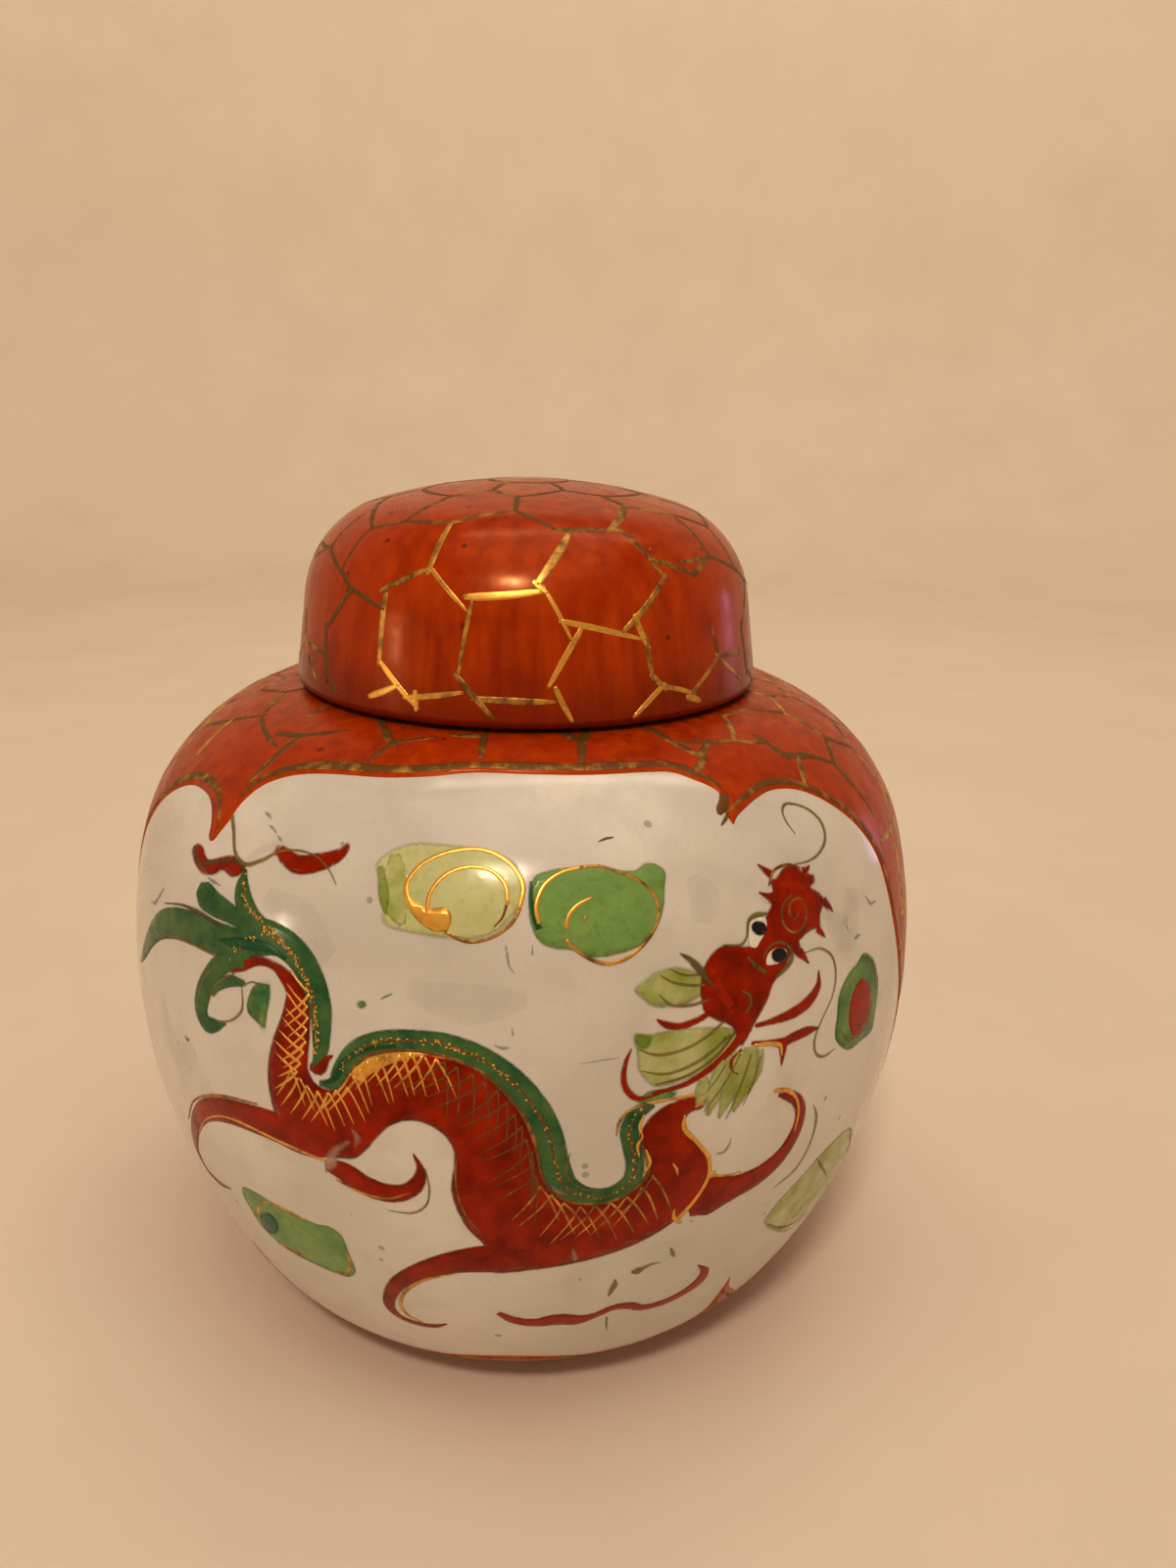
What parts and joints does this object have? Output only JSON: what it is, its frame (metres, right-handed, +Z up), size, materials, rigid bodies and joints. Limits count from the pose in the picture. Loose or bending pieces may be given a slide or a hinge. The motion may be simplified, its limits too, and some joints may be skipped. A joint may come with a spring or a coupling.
{
  "type": "ginger jar",
  "caption": "Round bellied porcelain jar on a low foot ring, with a short neck and a domed lid that lifts off, glazed and painted in orange and gold enamel.",
  "frame": {"origin": "centre of the foot ring's lower face, on the jar's axis", "axes": "+Z up along the jar's axis, towards the lid; the painted front faces -Y and +X is to the right seen from the front"},
  "size_m": [0.102, 0.102, 0.1072],
  "materials": {
    "jar_porcelain": "gloss",
    "lid_porcelain": "gloss"
  },
  "bodies": {
    "jar_body": {"jar_body": "jar_porcelain"},
    "lid": {"lid": "lid_porcelain"}
  },
  "joints": [
    {"name": "lid_lift", "type": "slide", "parent": "jar_body", "child": "lid", "axis": [0, 0, 1], "range_m": [0, 0.06]}
  ]
}
